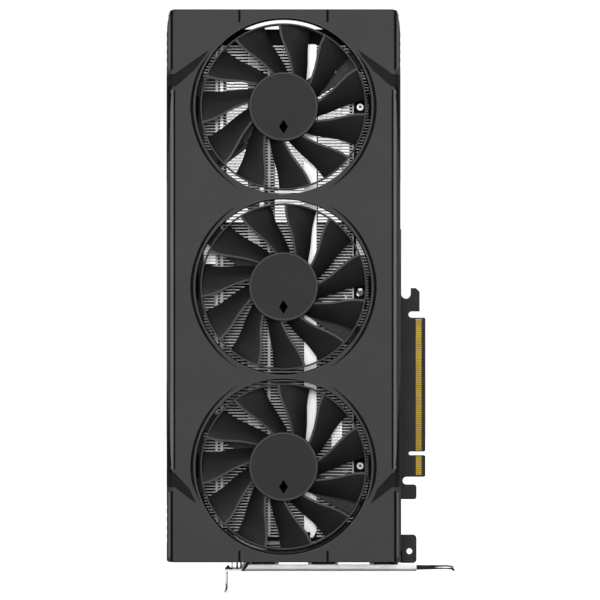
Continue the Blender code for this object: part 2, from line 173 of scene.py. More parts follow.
def soften(ob, width, segments=2, angle=35):
    """Small rounded edges with clean shading on the flats."""
    if width:
        bev = ob.modifiers.new("edge", "BEVEL")
        bev.width = width * MM
        bev.segments = segments
        bev.limit_method = "ANGLE"
        bev.angle_limit = math.radians(angle)
        bev.use_clamp_overlap = True
        bev.harden_normals = False
    weighted = ob.modifiers.new("normals", "WEIGHTED_NORMAL")
    weighted.keep_sharp = True


def piece(name, bm, mat, body, replaced=(), bevel=0.0, angle=40, segments=2):
    ob = new_object(name, bm, mat)
    mark_smooth(ob.data, 180 if bevel else angle)
    soften(ob, bevel, segments)
    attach(ob, body)
    if replaced:
        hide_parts(*replaced)
    return ob


def carve(ob, bm, operation="DIFFERENCE"):
    """Applies a closed cutter to a plain mesh object."""
    tool = new_object("cutter", bm)
    mod = ob.modifiers.new("carve", "BOOLEAN")
    mod.operation, mod.solver, mod.object = operation, "EXACT", tool
    depsgraph = bpy.context.evaluated_depsgraph_get()
    mesh = bpy.data.meshes.new_from_object(ob.evaluated_get(depsgraph))
    ob.modifiers.clear()
    old, ob.data = ob.data, mesh
    bpy.data.meshes.remove(old)
    bpy.data.objects.remove(tool)


# ---- materials -------------------------------------------------------------
class Nodes:
    """Short way to write a node tree."""

    def __init__(self, name):
        self.mat = bpy.data.materials.new(name)
        self.mat.use_nodes = True
        self.tree = self.mat.node_tree
        self.shader = self.tree.nodes["Principled BSDF"]
        self.coords = self.tree.nodes.new("ShaderNodeTexCoord").outputs["Object"]

    def link(self, a, b):
        self.tree.links.new(a, b)

    def noise(self, scale, detail=3.0, stretch=(1, 1, 1), rough=0.55):
        mapping = self.tree.nodes.new("ShaderNodeMapping")
        mapping.inputs["Scale"].default_value = stretch
        self.link(self.coords, mapping.inputs["Vector"])
        node = self.tree.nodes.new("ShaderNodeTexNoise")
        node.inputs["Scale"].default_value = scale
        node.inputs["Detail"].default_value = detail
        node.inputs["Roughness"].default_value = rough
        self.link(mapping.outputs["Vector"], node.inputs["Vector"])
        return node.outputs["Fac"]

    def remap(self, value, low, high, from_low=0.3, from_high=0.7):
        node = self.tree.nodes.new("ShaderNodeMapRange")
        node.inputs["From Min"].default_value = from_low
        node.inputs["From Max"].default_value = from_high
        node.inputs["To Min"].default_value = low
        node.inputs["To Max"].default_value = high
        self.link(value, node.inputs["Value"])
        return node.outputs["Result"]

    def mix(self, factor, a, b):
        node = self.tree.nodes.new("ShaderNodeMix")
        node.data_type = "RGBA"
        if isinstance(factor, float):
            node.inputs[0].default_value = factor
        else:
            self.link(factor, node.inputs[0])
        for value, socket in ((a, node.inputs[6]), (b, node.inputs[7])):
            if isinstance(value, tuple):
                socket.default_value = (*value, 1)
            else:
                self.link(value, socket)
        return node.outputs[2]

    def bump(self, height, strength, distance_mm, previous=None):
        node = self.tree.nodes.new("ShaderNodeBump")
        node.inputs["Strength"].default_value = strength
        node.inputs["Distance"].default_value = distance_mm * MM
        self.link(height, node.inputs["Height"])
        if previous:
            self.link(previous, node.inputs["Normal"])
        return node.outputs["Normal"]


def grey(v, tint=(1, 1, 1)):
    return tuple(v * t for t in tint)


def surface(name, base, rough, metal=0.0, spec=0.5, vary=0.12, grain=2200.0, grain_bump=0.12,
            stretch=(1, 1, 1), rough_vary=0.08, wear=0.0, coat=0.0):
    """Base colour with soft blotches, fine grain in the relief and uneven gloss."""
    n = Nodes(name)
    shader = n.shader
    shader.inputs["Metallic"].default_value = metal
    shader.inputs["Specular IOR Level"].default_value = spec
    if coat:
        shader.inputs["Coat Weight"].default_value = coat
        shader.inputs["Coat Roughness"].default_value = 0.15
    blotch = n.remap(n.noise(45.0, 4.0), 0.0, 1.0)
    low = tuple(c * (1 - vary) for c in base)
    high = tuple(min(1, c * (1 + vary)) for c in base)
    colour = n.mix(blotch, low, high)
    fine = n.noise(grain, 2.0, stretch)
    if wear:
        speck = n.remap(n.noise(grain * 0.45, 5.0, stretch), 0.0, wear, 0.55, 0.75)
        colour = n.mix(speck, colour, tuple(min(1, c * 2.2 + 0.02) for c in base))
    n.link(colour, shader.inputs["Base Color"])
    n.link(n.remap(n.noise(140.0, 3.0, stretch), rough - rough_vary, rough + rough_vary),
           shader.inputs["Roughness"])
    n.link(n.bump(fine, grain_bump, 0.06), shader.inputs["Normal"])
    return n.mat


def brushed(name, base, rough, along="x", bump=0.15, vary=0.08, metal=1.0):
    stretch = {"x": (0.03, 1, 1), "y": (1, 0.03, 1), "z": (1, 1, 0.03)}[along]
    return surface(name, base, rough, metal, 0.5, vary, 2600.0, bump, stretch, 0.07)


M = {
    "shroud": surface("shroud_plastic", grey(0.060, (1, 1, 1.01)), 0.6, spec=0.22, vary=0.05,
                      grain=2600, grain_bump=0.14, rough_vary=0.04),
    "collar": surface("collar_plastic", grey(0.062), 0.5, spec=0.3, vary=0.05, grain=2600,
                      grain_bump=0.08, rough_vary=0.04),
    "chevron": surface("chevron_plastic", grey(0.0145), 0.55, spec=0.10, vary=0.08, grain=1500,
                       grain_bump=0.08),
    # Near-black: painted shade on the groove, slot and crescent floors, and the fan clips' own
    # black.
    "crescent": surface("painted_shade_and_clip_black", grey(0.007), 0.7, spec=0.05, vary=0.15),
    # Painted highlight for the rounded side edges.
    "strip": surface("painted_side_highlight", grey(0.17), 0.5, spec=0.3, vary=0.06, grain=2400),
    "groove": surface("painted_wall_shade", grey(0.0015), 0.8, spec=0.02, vary=0.2),
    "blade": surface("blade_plastic", grey(0.017), 0.46, spec=0.22, vary=0.08, grain=1800,
                     grain_bump=0.05, rough_vary=0.05),
    "lip": surface("painted_lip_highlight", grey(0.062), 0.45, spec=0.35, vary=0.06, grain=1800,
                   grain_bump=0.05, rough_vary=0.05),
    "duct_highlight": surface("painted_duct_highlight", grey(0.36), 0.4, spec=0.4, vary=0.06, grain=1800,
                         grain_bump=0.05),
    "hub": surface("hub_plastic", grey(0.036), 0.58, spec=0.18, vary=0.04, grain=2400,
                   grain_bump=0.10, rough_vary=0.03),
    "mark": surface("mark_black", grey(0.001), 0.85, spec=0.0, vary=0.1),
    "tail_shade": surface("painted_side_shade", grey(0.006), 0.5, spec=0.10, vary=0.1),
    "motor": surface("motor_plastic", grey(0.042), 0.5, spec=0.25, vary=0.15, grain=900),
    "ledge": surface("ledge_plastic", grey(0.07), 0.6, spec=0.2, vary=0.1, grain=1200),
    "copper": brushed("copper_winding", (0.42, 0.17, 0.07), 0.35, "y", 0.4),
    "magnet": surface("magnet_ferrite", grey(0.03), 0.6, 0.3, 0.4, 0.2, 1200),
    "steel": brushed("plated_steel", grey(0.62), 0.28, "x"),
    "bronze": surface("bronze_sinter", (0.36, 0.22, 0.09), 0.45, 1.0, 0.5, 0.2, 1700, 0.3),
    "fin": brushed("rolled_fin", grey(0.88, (0.99, 1, 1.01)), 0.16, "x", 0.0, 0.02),
    "fin_deep": brushed("shaded_fin", grey(0.03, (0.99, 1, 1.01)), 0.5, "x", 0.06, metal=0.6),
    "hem": brushed("fin_hem", grey(0.44, (0.98, 1, 1.02)), 0.45, "x", 0.10, metal=0.75),
    # A darker copy of the nickel: painted shade for parts set in among the fins.
    "deep": surface("painted_shade_nickel", grey(0.05), 0.45, 0.8, 0.4, 0.2, 1500),
    "fold_shade": brushed("painted_fold_shade", grey(0.33, (0.98, 1, 1.01)), 0.5, "z", 0.12, metal=0.7),
    # Bright metal of the bars, tips and screws, also used for painted highlights: glints, lip hems
    # and the bracket lip face.
    "bright": brushed("bright_metal_and_glint", grey(0.86), 0.4, "z", 0.10, metal=0.75),
    "brace": brushed("brace_steel", grey(0.28), 0.4, "x", 0.10, metal=0.85),
    "nickel": brushed("nickel_plate", grey(0.72, (1, 0.99, 0.97)), 0.24, "z", 0.10),
    # Black paint of the rails and crossbar, also used for painted shadow between the fin tabs and
    # below the last fin.
    "rail": surface("black_paint_and_shadow", grey(0.004), 0.6, spec=0.08, vary=0.2, grain=1400),
    "screw_dark": brushed("dark_zinc_and_recess_shade", grey(0.10), 0.4, "x", 0.10, 0.1, metal=0.6),
    "mask": surface("solder_mask", grey(0.042, (0.98, 1, 1.03)), 0.5, spec=0.2, vary=0.10,
                    grain=1100, grain_bump=0.10),
    "gold": brushed("gold_contact", (0.42, 0.29, 0.05), 0.40, "x", 0.10, 0.10),
    "package": surface("package_laminate", (0.02, 0.07, 0.035), 0.4, vary=0.15, grain=1300),
    "silicon": surface("silicon_die", grey(0.12, (0.9, 0.95, 1.1)), 0.12, 0.6, 0.5, 0.05, 900,
                       0.02),
    "chip": surface("chip_epoxy", grey(0.012), 0.5, spec=0.3, vary=0.15, grain=2000),
    "choke": surface("choke_ferrite", grey(0.045), 0.55, vary=0.2, grain=1500, grain_bump=0.3),
    "socket": surface("socket_nylon", grey(0.008), 0.42, spec=0.35, vary=0.15, grain=1500),
    "backplate": surface("backplate_paint", grey(0.026), 0.42, 0.35, 0.4, 0.06, 2400, 0.14),
    "backlines": surface("backplate_lines", grey(0.006), 0.6, spec=0.1, vary=0.15, grain=1800),
    "bracket": brushed("bracket_steel", grey(0.80), 0.36, "x", 0.14, 0.06, metal=0.85),
    "tail": surface("bracket_shadow_side", grey(0.010), 0.35, 0.6, 0.4, 0.2, 1800, 0.1),
    "ceramic": surface("capacitor_ceramic", (0.22, 0.14, 0.08), 0.4, vary=0.2, grain=2500),
    "tin": surface("solder_tin", grey(0.6), 0.3, 1.0, 0.5, 0.1, 1800),
}


def paint(mat, *names, bevel=0.0):
    """A CAD node that stays: its own material and softened edges."""
    for name in names:
        ob = NODES[name]
        ob.data.materials.clear()
        ob.data.materials.append(M[mat])
        if bevel:
            for poly in ob.data.polygons:
                poly.use_smooth = True
            soften(ob, bevel)


# ---- shroud ----------------------------------------------------------------
def shroud_outline(inset, end_inset=None, radius=1.3):
    """Front outline, pulled in by inset at the sides and end_inset at the ends."""
    end_inset = inset if end_inset is None else end_inset
    w, low, high = HALF_W - inset, Z_LOW + end_inset, Z_HIGH - end_inset
    r = max(0.5, radius - end_inset)
    right = [(w - 1.5 - r, high)] + arc(w - 1.5 - r, high - r, r, 80, 8, 5)
    right += [(w - 0.5, 289.0), (w, 284.0), (w, low + r)]
    right += arc(w - r, low + r, r, -8, -82, 5) + [(w - r, low)]
    return right + [(-x, z) for x, z in reversed(right)]


CHEVRON_TOP = [(39.1, 274.3), (57.3, 261.5), (66.0, 261.5), (66.0, 255.0), (56.6, 255.0),
               (47.0, 263.4), (41.4, 270.5)]
CHEVRON_LOW = [(45.6, 35.9), (49.3, 43.9), (57.1, 52.3), (66.0, 52.3), (66.0, 44.8),
               (57.1, 44.8)]
RING_IN, RING_OUT = 47.0, 51.3
COLLAR_SIDES = {"top": ((-60, 37), (143, 240)), "middle": ((-60, 60), (120, 240)),
                "bottom": ((-23, 60), (120, 203))}


def crescent(angle):
    """Inner and outer radius of the groove beside a collar, at an angle."""
    t = min(abs(angle), abs(angle - 180))
    inner = 47.35 + 1.45 * max(0.0, (t - 25) / 35) ** 1.5
    outer = 48.95 - 0.25 * min(1.0, t / 20) + 0.32 * max(0.0, (t - 20) / 40)
    return inner, outer


def surround(bm, floor, cz, a0, a1):
    """Face ring round a fan collar with a crescent groove, whose floor is painted dark as shade."""
    rings, floors, n = [], [], 44
    for i in range(n + 1):
        a = a0 + (a1 - a0) * i / n
        r0, r1 = crescent(a)
        blunt = [abs(a - end) for end in (a0, a1) if min(abs(end - 60), abs(end + 60),
                                                         abs(end - 120), abs(end - 240)) > 1]
        r1 = r0 + 0.12 + (r1 - r0 - 0.12) * min([1.0] + [gap / 14 for gap in blunt])
        depth = 0.9 * min(1.0, 5 * i / n, 5 * (n - i) / n) + 0.005
        face = Y_FACE - 0.02
        section = [(RING_IN, face), (r0, face), (r0 + 0.04, face + depth),
                   (r1 - 0.04, face + depth), (r1, face), (RING_OUT, face),
                   (RING_OUT, Y_FACE + 3.6), (RING_IN, Y_FACE + 3.6)]
        rings.append([(x, y, z) for r, y in section for x, z in (polar(cz, r, a),)])
        y = face + min(0.35, depth * 0.5) - 0.01
        section = [(r0 + 0.02, y), (r1 - 0.02, y), (r1 - 0.02, y + 1.5), (r0 + 0.02, y + 1.5)]
        floors.append([(x, yy, z) for r, yy in section for x, z in (polar(cz, r, a),)])
    loft(bm, rings)
    loft(floor, floors)


def opening_cut(cz, sides):
    """Hole outline in the face: wider where a surround fills it."""
    pts = []
    for k in range(180):
        a = 2 * k - 89
        wide = any(a0 + 2 <= a <= a1 - 2 for a0, a1 in sides)
        pts.append(polar(cz, 50.7 if wide else 46.9, a))
    return pts


def chevron_cutter():
    bm = bmesh.new()
    for s in (-1, 1):
        for pts in (CHEVRON_TOP, CHEVRON_LOW):
            prism(bm, "y", [(s * x, z) for x, z in pts], Y_FACE - 1, Y_FACE + 0.9)
    return bm


def side_slots(bm, x0, x1, inset=0.0):
    """Five short slots near each end of both sides."""
    for s in (-1, 1):
        for k in range(5):
            for z in (266.0 + 4.4 * k, 15.5 + 4.4 * k):
                block(bm, *sorted((s * x0, s * x1)), -40.0 + inset, -20.0 - inset,
                      z + inset, z + 2.2 - inset)


def face_grooves():
    """Seams in the face as (x0, x1, z0, z1): four short ones, then those along the sides."""
    grooves = [(x - 0.6, x + 0.6, z0, z1) for x in (-23.15, 23.15)
               for z0, z1 in ((288.8, 297), (4, 11.5))]
    for s in (-1, 1):
        grooves.append((*sorted((s * 56.75, s * 57.55)), 54.3, 253.2))
        grooves += [(*sorted((s * 58.0, s * 59.3)), z0, z1) for z0, z1 in ((264.0, 297), (4, 42.8))]
    return grooves


def build_shroud():
    build_shroud_body()
    build_seams()
    build_collars()
    build_chevron_bands()
    build_side_highlights()
    build_chevron_tail_shadows()


def build_shroud_body():
    """Rounded shell, hollowed, with fan openings, side windows, chevrons and grooves."""
    bm = bmesh.new()
    layers = [(3.6, 0.5, 0.0), (3.35, 0.3, 0.03), (2.6, 0.12, 0.3), (1.9, 0.03, 0.8),
              (1.4, 0.0, 1.45), (0.85, 0.0, 2.6), (0.35, 0.0, 4.0), (0.0, 0.0, 5.8)]
    rings = [[(x, Y_FACE + y, z) for x, z in shroud_outline(i, e)] for i, e, y in layers]
    rings.append([(x, 3.1, z) for x, z in shroud_outline(0.0)])
    loft(bm, rings)
    ob = new_object("shroud_body", bm, M["shroud"])
    inner = HALF_W - 1.8
    carve(ob, block(bmesh.new(), -inner, inner, Y_FACE + 2, 4, Z_LOW + 1.8, Z_HIGH - 1.8))
    bm = bmesh.new()
    for where, cz in FANS.items():
        prism(bm, "y", opening_cut(cz, COLLAR_SIDES[where]), Y_FACE - 1, Y_FACE + 3)
    carve(ob, bm)
    for box in ((-70, 70, -27, 5, 62, 184), (-70, 70, -27, -4, 183, 248),
                (-70, 70, -1.5, 5, 0, 62.5), (-46, 46, -38, -4, 292, 298),
                (-24, 59.3, -27, 0, 0, 8), (45, 59.5, -8, 0, 0, 22)):
        carve(ob, block(bmesh.new(), *box))
    carve(ob, chevron_cutter())
    for z0, z1 in ((255.0, 261.5), (44.8, 52.3)):
        bm = bmesh.new()
        for s in (-1, 1):
            block(bm, *sorted((s * 59.6, s * 66.0)), Y_FACE + 0.5, -33, z0, z1)
        carve(ob, bm)
    bm = bmesh.new()
    for x0, x1, z0, z1 in face_grooves():
        block(bm, x0, x1, Y_FACE - 1, Y_FACE + 1.3, z0, z1)
    carve(ob, bm)
    bm = bmesh.new()
    side_slots(bm, 60.5, 66.0)
    carve(ob, bm)
    mark_smooth(ob.data, 28)
    soften(ob, 0.2, 2, 32)
    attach(ob, "card")
    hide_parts("shroud")


def build_seams():
    """Painted shade: black floors in the grooves and slots, and black strips along both end edges.
    """
    bm = bmesh.new()
    for x0, x1, z0, z1 in face_grooves():
        block(bm, x0 + 0.02, x1 - 0.02, Y_FACE + 0.4, Y_FACE + 1.25, max(z0, 5.8), min(z1, 295.0))
    for z in (5.3, 295.1):
        block(bm, -57.6, 57.6, Y_FACE + 0.1, Y_FACE + 0.6, z, z + 0.42)
    side_slots(bm, 60.0, 60.45, inset=0.1)
    piece("shroud_seam_shadows", bm, M["crescent"], "card", angle=20)


def build_collars():
    """Crescent-grooved surrounds and a thin raised ring round each fan opening; the groove floors
    and the ring's inner wall are painted black as shade.
    """
    bm, floor = bmesh.new(), bmesh.new()
    for where, cz in FANS.items():
        for a0, a1 in COLLAR_SIDES[where]:
            surround(bm, floor, cz, a0, a1)
    ob = piece("collar_surrounds", bm, M["shroud"], "card", angle=24)
    carve(ob, chevron_cutter())
    mark_smooth(ob.data, 24)
    soften(ob, 0)
    piece("collar_crescent_shadows", floor, M["crescent"], "card", angle=24)

    n = 144
    profile = [(46.0, -33.5), (46.0, Y_FACE + 0.5), (46.2, Y_FACE + 0.1),
               (46.42, Y_FACE - 0.05), (46.75, Y_FACE - 0.05), (46.98, Y_FACE + 0.03),
               (47.06, Y_FACE + 0.2), (47.06, -33.5)]
    bm = bmesh.new()
    for cz in FANS.values():
        lathe(bm, 0, cz, profile, n)
    ob = piece("fan_collars", bm, M["collar"], "card")
    # Painted shade: the ring's inner wall and back take the near-black second material.
    ob.data.materials.append(M["groove"])
    for poly in ob.data.polygons:
        if poly.index // n % len(profile) in (0, 1, 7):
            poly.material_index = 1


def build_chevron_bands():
    bm = bmesh.new()
    for s in (-1, 1):
        for pts in (CHEVRON_TOP, CHEVRON_LOW):
            trimmed = [(s * (x if x < 60 else 59.9), z) for x, z in pts]
            prism(bm, "y", trimmed, Y_FACE + 0.5, Y_FACE + 1.3)
        for z0, z1 in ((255.15, 261.35), (44.95, 52.15)):
            block(bm, *sorted((s * 59.5, s * 60.4)), Y_FACE + 0.7, -33.2, z0, z1)
    piece("chevron_bands", bm, M["chevron"], "card", angle=20)


def build_side_highlights():
    """Painted highlight: lighter beads beside the side grooves and on the corners, where the
    rounded edge catches the light.
    """
    bm = bmesh.new()
    profile = [(57.95, 0.0), (58.9, 0.26), (59.3, 0.55), (59.3, 1.1), (57.95, 0.6)]
    corner = [(59.45, 0.62), (60.1, 1.4), (60.45, 2.2), (60.3, 2.6), (59.45, 1.4)]
    for s in (-1, 1):
        for pts, z0, z1 in ((profile, 54.3, 253.2), (corner, 264.0, 293.0), (corner, 8.0, 42.0)):
            prism(bm, "z", [(s * x, Y_FACE - 0.03 + y) for x, y in pts], z0, z1)
    piece("side_highlight_strips", bm, M["strip"], "card", angle=50)


def along(path, u):
    """Point at position u, counted in segments, on a polyline."""
    i = min(int(u), len(path) - 2)
    return tuple(a + (b - a) * (u - i) for a, b in zip(path[i], path[i + 1]))


def build_chevron_tail_shadows():
    """Dark tails that carry each chevron along the rounded side, narrowing away from it: painted
    shade where the side turns away from the light.
    """
    bm = bmesh.new()
    side = [(57.6, -0.08), (58.9, 0.19), (59.6, 0.69), (60.15, 1.34), (60.73, 2.49),
            (61.23, 3.89), (61.56, 5.7), (61.56, 8.0)]
    for s in (-1, 1):
        for z0, z1 in ((255.2, 205.0), (44.9, 52.3), (52.3, 100.0), (261.4, 255.2)):
            rings = []
            for i in range(13):
                t = 0.0 if abs(z1 - z0) < 10 else i / 12
                start = min(5.6, (1.2 if z0 in (261.4, 44.9) else 0.2) + 4.2 * t ** 0.7 + t ** 4)
                front = [along(side, start + (7 - start) * k / 9) for k in range(10)]
                back = [(x - 0.35, y + 0.35) for x, y in reversed(front)]
                z = z0 + (z1 - z0) * i / 12
                rings.append([(s * x, Y_FACE + y, z) for x, y in front + back])
            loft(bm, rings)
    piece("chevron_tail_shadows", bm, M["tail_shade"], "card", angle=20)


# ---- fans ------------------------------------------------------------------
BLADES = 11
BLADE_STEPS = 9
# radius, leading angle, angular width, depth of the leading and trailing edges
STATIONS = [(17.6, -1.0, 27.0, -40.8, -33.3), (19.4, 1.1, 26.0, -41.0, -33.4),
            (22.0, 4.3, 25.0, -41.3, -33.6), (26.0, 8.1, 23.8, -41.7, -33.8),
            (30.0, 11.7, 23.3, -42.0, -34.0), (34.0, 14.6, 23.2, -42.2, -34.3),
            (38.0, 16.4, 23.4, -42.35, -34.6), (43.1, 17.1, 22.9, -42.4, -34.9)]
LIP_W = 1.25


def blade(bm, cz, phase):
    """Swept, cambered blade with a raised lip along its leading edge."""
    rings = []
    n = BLADE_STEPS
    for r, lead, width, y_lead, y_trail in STATIONS:
        lip = math.degrees(LIP_W / r)
        front = [(phase + lead, y_lead), (phase + lead - lip * 0.12, y_lead - 0.12),
                 (phase + lead - lip * 0.9, y_lead - 0.12), (phase + lead - lip, y_lead + 0.3)]
        back = [(phase + lead, y_lead + 0.5), (phase + lead - lip, y_lead + 1.1)]
        for i in range(1, n + 1):
            t = i / n
            a = phase + lead - lip - (width - lip) * t
            y = y_lead + 0.3 + (y_trail - y_lead - 0.3) * t ** 1.25
            front.append((a, y))
            back.append((a, y + 0.95 - 0.5 * t))
        rings.append([(x, y, z) for a, y in front + list(reversed(back))
                      for x, z in (polar(cz, r, a),)])
    loft(bm, rings)


def lip_faces(ob):
    """The lips take the second material of the impeller, a lighter copy of the blade plastic:
    painted highlight.
    """
    ob.data.materials.append(M["lip"])
    loop = 4 + BLADE_STEPS + 2 + BLADE_STEPS
    rows = len(STATIONS) - 1
    per_blade = rows * loop + 2
    for k in range(BLADES):
        for row in range(rows):
            for col in range(3):
                ob.data.polygons[k * per_blade + row * loop + col].material_index = 1


def build_fan(where):
    cz, body = FANS[where], "fan_" + where
    bm = bmesh.new()
    for k in range(BLADES):
        blade(bm, cz, PHASE[where] + 360 / BLADES * k)
    ob = piece("impeller_blades_" + where, bm, M["blade"], body,
               replaced=("impeller_" + where,), angle=30)
    lip_faces(ob)
    bm = bmesh.new()
    lathe(bm, 0, cz, [(42.9, -42.2), (43.05, -42.55), (43.2, -42.65), (43.55, -42.65),
                      (43.75, -42.5), (43.8, -42.2), (43.8, -34.4), (42.9, -34.4)], 144)
    # Painted highlight: the rim takes the lighter lip plastic.
    piece("impeller_rim_" + where, bm, M["lip"], body, angle=50)
    bm = bmesh.new()
    lathe(bm, 0, cz, [(0, -43.35), (16.7, -43.35), (16.85, -43.38), (17.0, -43.6),
                      (17.3, -43.68), (17.7, -43.62), (18.0, -43.4), (18.15, -43.0),
                      (18.15, -31.8), (16.9, -31.8), (16.9, -41.9), (0, -41.9)], 96)
    piece("impeller_hub_" + where, bm, M["hub"], body, angle=35)
    bm = bmesh.new()
    lathe(bm, 0, cz, [(16.75, -43.3), (17.05, -43.64), (17.3, -43.73), (17.65, -43.68),
                      (17.9, -43.5), (17.6, -43.3)], 96)
    # Painted highlight: the hub's edge ring takes the lighter lip plastic.
    piece("hub_ring_" + where, bm, M["lip"], body, angle=50)
    bm = bmesh.new()
    zc = cz - 10.6
    prism(bm, "y", [(0, zc + 3.7), (-2.35, zc), (0, zc - 3.7), (2.35, zc)], -43.4, -43.2)
    piece("hub_mark_" + where, bm, M["mark"], body, angle=20)
    paint("motor", "fan_frame_" + where, bevel=0.3)
    paint("copper", "motor_stator_" + where)
    paint("bronze", "bearing_" + where)
    paint("steel", "rotor_shaft_" + where)
    paint("magnet", "rotor_magnet_" + where)
    build_frame_details(where)


def along_arm(cz, angle, r, side):
    """A point at radius r along an arm and side millimetres to its left."""
    t = math.radians(angle)
    return r * math.cos(t) - side * math.sin(t), cz + r * math.sin(t) + side * math.cos(t)


def arm_bar(bm, cz, angle, r0, r1, side, half, y0, y1):
    pts = [along_arm(cz, angle, r, side + s) for r, s in
           ((r0, -half), (r1, -half), (r1, half), (r0, half))]
    prism(bm, "y", pts, y0, y1)


def build_frame_details(where):
    """Edge ribs, cable clips and screws on the fan's two arms, and its side clips."""
    cz = FANS[where]
    ribs, screws, wires, clips = bmesh.new(), bmesh.new(), bmesh.new(), bmesh.new()
    for k, a in enumerate(ARMS[where]):
        for side in (-4.7, 4.7):
            arm_bar(ribs, cz, a, 18.6, 51.5, side, 0.55, -32.5, -31.1)
        arm_bar(ribs, cz, a, 24.0, 30.0, 0.0, 0.4, -31.9, -31.1)
        x, z = along_arm(cz, a, 33.0, 1.2)
        lathe(screws, x, z, [(0, -31.7), (0.55, -31.7), (0.65, -32.15), (1.05, -32.2),
                             (1.2, -31.9), (1.2, -31.1), (0, -31.1)], 24)
        x, z = along_arm(cz, a, 38.5, -1.4)
        prism(ribs, "y", circle(x, z, 1.5, 20), -32.0, -31.1)
        if k:
            for side in (2.3, 3.0):
                arm_bar(wires, cz, a, 19.0, 50.0, side, 0.28, -32.0, -31.4)
            for r in (26.0, 41.0):
                arm_bar(ribs, cz, a, r, r + 2.0, 2.6, 1.3, -32.4, -31.1)
    for s in (-1, 1):
        block(clips, *sorted((s * 44.75, s * 46.1)), -38.5, -29.0, cz - 6.3, cz + 6.1)
    piece("frame_ribs_" + where, ribs, M["motor"], "card", bevel=0.15)
    piece("frame_screws_" + where, screws, M["steel"], "card")
    piece("fan_wires_" + where, wires, M["chip"], "card", bevel=0.2)
    piece("fan_clips_" + where, clips, M["crescent"], "card", bevel=0.2)


# ---- heatsink --------------------------------------------------------------
FIN_PITCH, FIN_T = 1.55, 0.28
FIN_Z0, FIN_Z1 = 17.9, 277.8
FIN_FRONT = -27.5
FIN_ROWS = [FIN_Z0 + k * FIN_PITCH for k in range(int((FIN_Z1 - FIN_Z0) / FIN_PITCH) + 1)]
WINDOW_Z0, WINDOW_Z1 = 183, 259
PADS = {"top": 245.0, "middle": 147.0, "bottom": 55.3}
PAD_HALF = 8.2
RAIL_X = 40.5


def in_window(z, margin=0):
    return WINDOW_Z0 + margin < z < WINDOW_Z1


def hem_height(z, lips):
    """Folded front hem of the fin at height z."""
    if lips[0] < z < lips[1]:
        return 1.3
    if in_window(z):
        return 0.45
    return 0.6 if z <= WINDOW_Z0 else 0.75


def fin_stack(name, x0, x1, y1, node, pads=False, lips=(0, 0), open_back=False):
    """Thin sheets, each with a folded front hem, taller between the lips' heights."""
    bm = bmesh.new()
    y0 = FIN_FRONT
    for z in FIN_ROWS:
        at_pad = pads and any(abs(z - pad) < PAD_HALF for pad in PADS.values())
        hem = hem_height(z, lips)
        section = [(y0, z), (y0, z + hem), (y0 + 0.5, z + hem), (y0 + 0.7, z + FIN_T),
                   (y1, z + FIN_T), (y1, z)]
        prism(bm, "x", section, 43.9 if at_pad else x0, x1)
    ob = piece(name, bm, M["fin"], "card", replaced=(node,), angle=20)
    # Painted shade: outside the window the fin faces, and inside it the hems in front of an open
    # back, take the shaded_fin copy of the fin metal. Painted highlight: hems between the lips'
    # heights take the bright metal.
    for mat in ("hem", "bright", "fin_deep"):
        ob.data.materials.append(M[mat])
    fin, hem_slot, highlight_slot, shaded_slot = range(4)
    faces_per_fin = 2 + len(section)
    for poly in ob.data.polygons:
        z = poly.center.z / MM
        front = poly.index % faces_per_fin in (0, 1, 2, 3)
        if front and lips[0] < z < lips[1]:
            poly.material_index = highlight_slot
        elif front:
            poly.material_index = shaded_slot if open_back and in_window(z) else hem_slot
        else:
            poly.material_index = fin if in_window(z) else shaded_slot


def build_heatsink():
    fin_stack("fin_stack_a", -42.2, -36.0, -14.0, "fins_a", lips=(160.5, 173.5))
    fin_stack("fin_stack_b", -36.0, -19.0, -5.8, "fins_b", open_back=True)
    fin_stack("fin_stack_c", -12.5, 10.8, -5.8, "fins_c", open_back=True)
    fin_stack("fin_stack_d", 17.45, 36.9, -5.8, "fins_d", open_back=True)
    fin_stack("fin_stack_e", 38.4, 57.0, -7.0, "fins_e", pads=True, lips=(166.0, 176.0))
    bm = block(bmesh.new(), 37.6, 57.4, -6.8, -6.2, 185.0, 262.0)
    piece("window_flange", bm, M["rail"], "card", bevel=0.1)
    build_fin_tabs()
    build_plates()
    build_bar_ends()
    build_ducts()
    for where, z in PADS.items():
        build_rail_screw(where, z)
    build_washer_glints()


